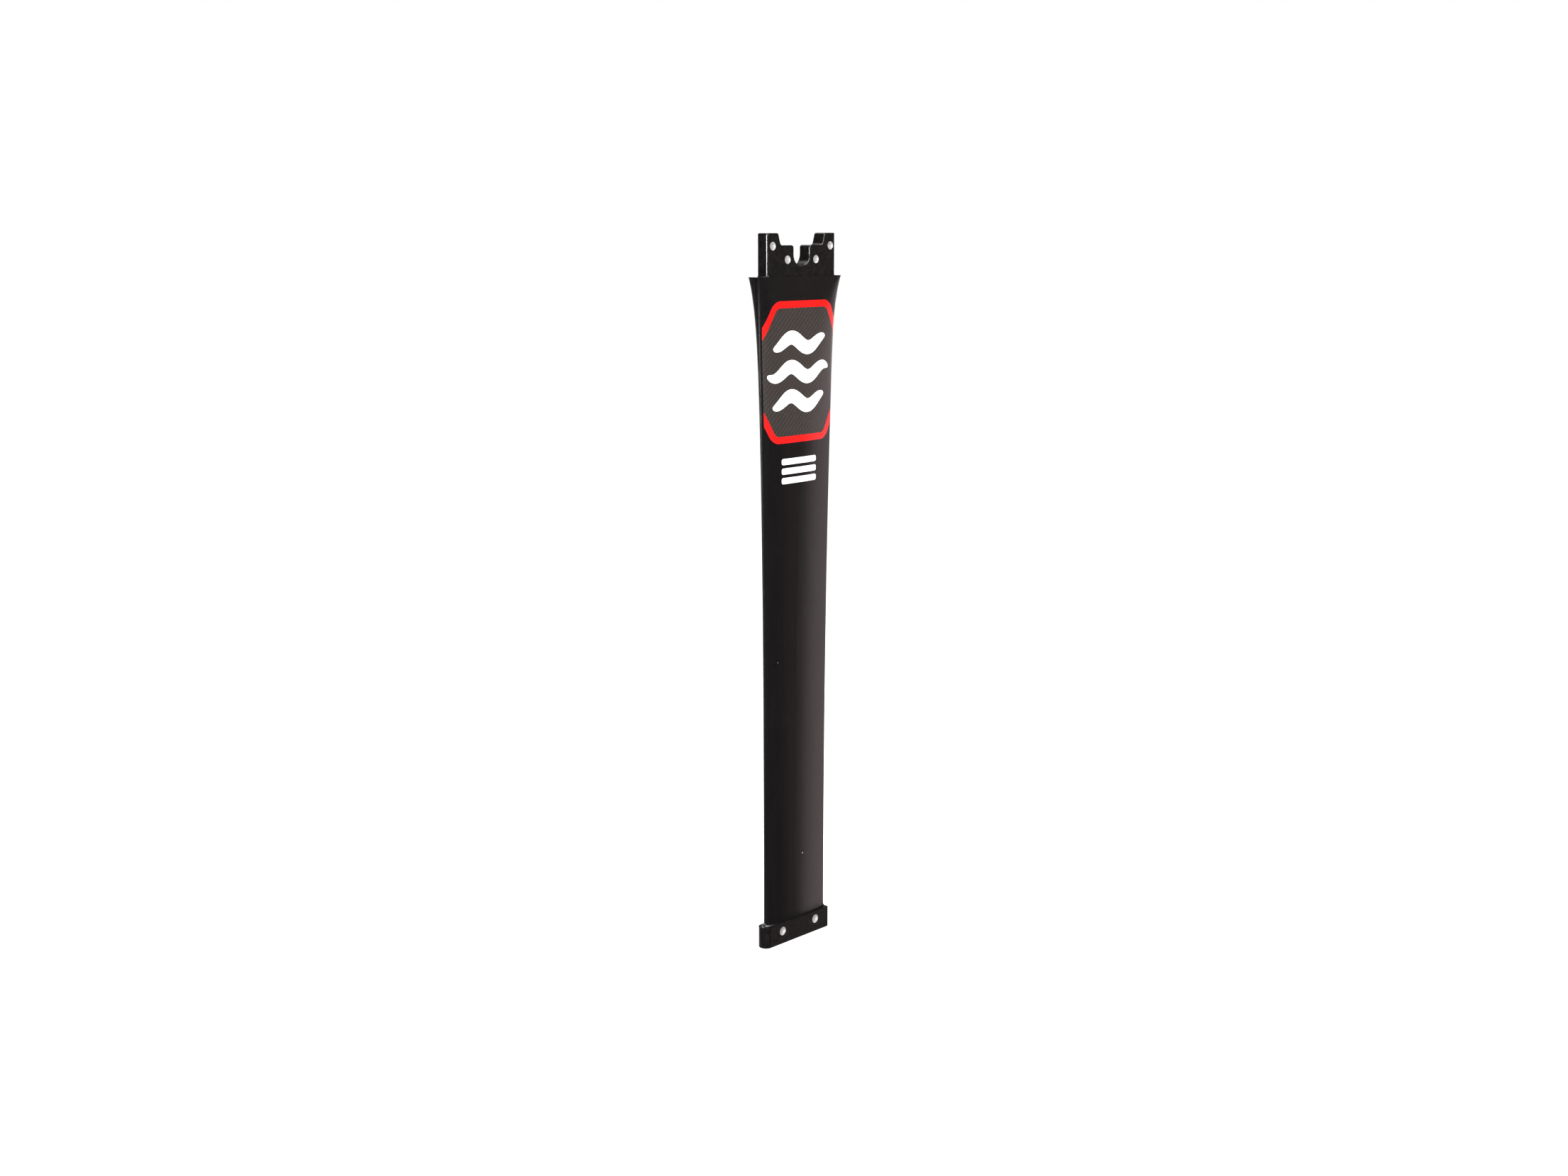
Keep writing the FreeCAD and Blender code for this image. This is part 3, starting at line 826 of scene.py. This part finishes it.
for step in range(ROOT_STEPS):
    before = math.pi / 2 * step / ROOT_STEPS
    after = math.pi / 2 * (step + 1) / ROOT_STEPS
    inwards = ROOT_RADIUS * (math.sin(after) - math.sin(before))
    upwards = ROOT_RADIUS * (math.cos(before) - math.cos(after))
    bmesh.ops.inset_individual(bm, faces=lid, thickness=inwards, depth=upwards,
                               use_even_offset=True)
bmesh.ops.recalc_face_normals(bm, faces=bm.faces[:])
new_piece("tongue_root_fillet", bm, "block_carbon")

# %% [markdown]
# ### Printed marks
# The marks are thin films on both flanks. Each is drawn flat, cut into small faces, dropped on
# to the skin by casting rays at it, and given a hair of thickness. It borrows the skin's smooth
# normals, so the light runs over the print as it does over the skin.

# %% The skin as a surface to lay films on
FILM_THICKNESS = 0.16 * MM
RAY_START = 0.1
EDGE_RAY_Y = 0.3 * MM


class Flank:
    """One side of the mast: its mesh, its search tree and its smooth normals."""

    def __init__(self, node, side):
        self.mesh = nodes[node].data
        self.side = side
        points = [vert.co.copy() for vert in self.mesh.vertices]
        faces = [tuple(face.vertices) for face in self.mesh.polygons]
        self.tree = BVHTree.FromPolygons(points, faces)
        self.normals = [corner.vector.copy() for corner in self.mesh.corner_normals]

    def spot(self, x, z):
        """The point of the skin beside (x, z), and the smooth normal there."""
        start = Vector((x, self.side * RAY_START, z))
        hit, _, index, _ = self.tree.ray_cast(start, Vector((0, -self.side, 0)))
        face = self.mesh.polygons[index]
        shares = poly_3d_calc([self.mesh.vertices[i].co for i in face.vertices], hit)
        normal = Vector((0, 0, 0))
        for share, corner in zip(shares, face.loop_indices):
            normal += self.normals[corner] * share
        return hit, normal.normalized()

    def edge_x(self, z, forward):
        """Where the leading (1) or trailing (-1) edge is at a height."""
        start = Vector((forward * RAY_START * 2, self.side * EDGE_RAY_Y, z))
        hit, _, _, _ = self.tree.ray_cast(start, Vector((-forward, 0, 0)))
        return hit.x


flanks = {"port": Flank("port_skin", 1), "starboard": Flank("starboard_skin", -1)}
for name, flank in flanks.items():
    print(name, "edges at half height, mm:",
          [round(flank.edge_x(half_height, forward) / MM, 1) for forward in (1, -1)])

# %% Laying a film
ON_PLANE = 1e-7


def lay_film(name, bm, flank, lift, slot):
    """Drops a flat drawing on to the skin and makes it a closed film."""
    bmesh.ops.triangulate(bm, faces=[face for face in bm.faces if len(face.verts) > 4])
    for face in bm.faces:
        face.normal_update()
        if face.normal.y * flank.side < 0:
            face.normal_flip()
    for vert in bm.verts:
        hit, normal = flank.spot(vert.co.x, vert.co.z)
        vert.co = hit + normal * (lift - FILM_THICKNESS)
    bm.normal_update()
    bmesh.ops.solidify(bm, geom=bm.faces[:], thickness=-FILM_THICKNESS)
    bmesh.ops.recalc_face_normals(bm, faces=bm.faces[:])
    piece = new_piece(name, bm, slot)
    normals = [flank.spot(vert.co.x, vert.co.z)[1] for vert in piece.data.vertices]
    piece.data.normals_split_custom_set_from_vertices(normals)


def cut_across(bm, way, spacing, reach, middle):
    """Cuts a drawing into strips across a direction, so that it can bend with the skin."""
    steps = int(reach / spacing)
    for i in range(-steps, steps + 1):
        bmesh.ops.bisect_plane(bm, geom=bm.verts[:] + bm.edges[:] + bm.faces[:], dist=ON_PLANE,
                               plane_co=middle + way * i * spacing, plane_no=way)


ACROSS = Vector((1, 0, 0))
UPWARDS = Vector((0, 0, 1))
MARK_BELOW_SHOULDER = 107 * MM
MARK_Z = shoulder_z - MARK_BELOW_SHOULDER
MARK = Vector((0, 0, MARK_Z))
print("mark's middle is", round(MARK_Z / MM, 1), "mm above the foot")

# %% [markdown]
# The main mark is a plain hexagon outline in red that runs off both edges of the mast, with bare
# cloth inside it and three white waves. A circle of six segments is the hexagon, a vertex bevel
# rounds it, and an inset leaves the band.

# %% Hexagon band and cloth panel
BAND_REACH = 80.0 * MM
BAND_WIDTH = 7.8 * MM
BAND_LIFT = 0.10 * MM
PANEL_LIFT = 0.07 * MM
HEXAGON_ROUND = 16.0 * MM
FRONT_MARGIN = 3.0 * MM
REAR_MARGIN = 0.8 * MM
CUT_X = 1.6 * MM
CUT_Z = 6.0 * MM


def rounded_hexagon(reach, rounding):
    """A hexagon that stands on a flat side, in the plane of the mast."""
    bm = bmesh.new()
    half_side = math.pi / 6  # half the angle that one side spans
    upright = Matrix.Translation(MARK) @ Matrix.Rotation(math.pi / 2, 4, "X")
    turned = upright @ Matrix.Rotation(half_side, 4, "Z")
    bmesh.ops.create_circle(bm, cap_ends=True, segments=6, radius=reach / math.cos(half_side),
                            matrix=turned)
    bmesh.ops.bevel(bm, geom=bm.verts[:], offset=rounding * math.tan(half_side),
                    offset_type="OFFSET", segments=10, profile=0.5, affect="VERTICES", material=-1)
    return bm


def trim_to_mast(bm, flank):
    """Cuts off what would hang over the leading and trailing edges."""
    for forward, margin in ((1, FRONT_MARGIN), (-1, REAR_MARGIN)):
        low, high = [Vector((flank.edge_x(z, forward) - forward * margin, 0, z))
                     for z in (MARK_Z - BAND_REACH / 2, MARK_Z + BAND_REACH / 2)]
        run = high - low
        outward = Vector((forward * run.z, 0, -forward * run.x))
        bmesh.ops.bisect_plane(bm, geom=bm.verts[:] + bm.edges[:] + bm.faces[:], dist=ON_PLANE,
                               plane_co=low, plane_no=outward, clear_outer=True)


def hexagon_film(name, flank, reach, rounding, is_band, lift, slot):
    """The band, or the panel inside it, laid on one flank."""
    bm = rounded_hexagon(reach, rounding)
    if is_band:
        middle = bm.faces[:]
        bmesh.ops.inset_region(bm, faces=middle, thickness=BAND_WIDTH, use_even_offset=True,
                               use_boundary=True)
        bmesh.ops.delete(bm, geom=middle, context="FACES_ONLY")
    trim_to_mast(bm, flank)
    cut_across(bm, ACROSS, CUT_X, BAND_REACH, MARK)
    cut_across(bm, UPWARDS, CUT_Z, BAND_REACH, MARK)
    lay_film(name, bm, flank, lift, slot)


for side, flank in flanks.items():
    hexagon_film(side + "_hexagon_band", flank, BAND_REACH, HEXAGON_ROUND, True,
                 BAND_LIFT, "print_red")
    hexagon_film(side + "_cloth_panel", flank, BAND_REACH - BAND_WIDTH, HEXAGON_ROUND - BAND_WIDTH,
                 False, PANEL_LIFT, "panel_weave")

# %% [markdown]
# The waves and the bars start as grids. Moving a grid's points along a sine makes a wave, and
# letting its width fall away close to the ends gives it round tips.

# %% Waves
WAVE_LENGTH = 56.0 * MM
WAVE_HEIGHT = 6.0 * MM
WAVE_WIDTH = 16.0 * MM
WAVE_PITCH = 33.0 * MM
WAVE_SPANS = [88.0 * MM, 104.0 * MM, 88.0 * MM]
WAVE_SHIFT = 3.0 * MM
TIP_POWER = 2.6
TIP_WELD = 0.01 * MM
WAVE_CELLS = (72, 4)
WAVE_LIFT = 0.13 * MM


def add_strip(bm, x_parts, z_parts):
    """A flat unit grid that stands in the plane of the mast; returns its points."""
    grid = bmesh.ops.create_grid(bm, x_segments=x_parts, y_segments=z_parts, size=0.5,
                                 matrix=Matrix.Rotation(math.pi / 2, 4, "X"))
    return grid["verts"]


for side, flank in flanks.items():
    bm = bmesh.new()
    for row, span in enumerate(WAVE_SPANS):
        for vert in add_strip(bm, *WAVE_CELLS):
            fullness = math.sqrt(max(0.0, 1 - abs(2 * vert.co.x) ** TIP_POWER))
            stroke = vert.co.z * WAVE_WIDTH * fullness
            x = vert.co.x * span
            phase = 2 * math.pi * x / WAVE_LENGTH
            slope = WAVE_HEIGHT * 2 * math.pi / WAVE_LENGTH * math.cos(phase)
            across = Vector((-slope, 0, 1)).normalized() * stroke
            level = MARK_Z + (row - 1) * WAVE_PITCH
            on_wave = Vector((WAVE_SHIFT + x, 0, level + WAVE_HEIGHT * math.sin(phase)))
            vert.co = on_wave + across
    bmesh.ops.remove_doubles(bm, verts=bm.verts[:], dist=TIP_WELD)
    lay_film(side + "_waves", bm, flank, WAVE_LIFT, "print_white")

# %% Size bars
BARS_BELOW_SHOULDER = 219 * MM
BARS_SHIFT = 2.5 * MM
BARS = Vector((BARS_SHIFT, 0, shoulder_z - BARS_BELOW_SHOULDER))
BAR_LENGTH = 60.0 * MM
BAR_HEIGHT = 7.0 * MM
BAR_GAP = 3.9 * MM
BAR_ROUND = 2.6 * MM
BAR_LIFT = 0.10 * MM

for side, flank in flanks.items():
    bm = bmesh.new()
    for row in (-1, 0, 1):
        corners = add_strip(bm, 1, 1)
        for vert in corners:
            vert.co = BARS + Vector((vert.co.x * BAR_LENGTH, 0,
                                     row * (BAR_HEIGHT + BAR_GAP) + vert.co.z * BAR_HEIGHT))
        bmesh.ops.bevel(bm, geom=corners, offset=BAR_ROUND, offset_type="OFFSET", segments=6,
                        profile=0.5, affect="VERTICES", material=-1)
    cut_across(bm, ACROSS, CUT_X, BAR_LENGTH, BARS)
    lay_film(side + "_size_bars", bm, flank, BAR_LIFT, "print_white")
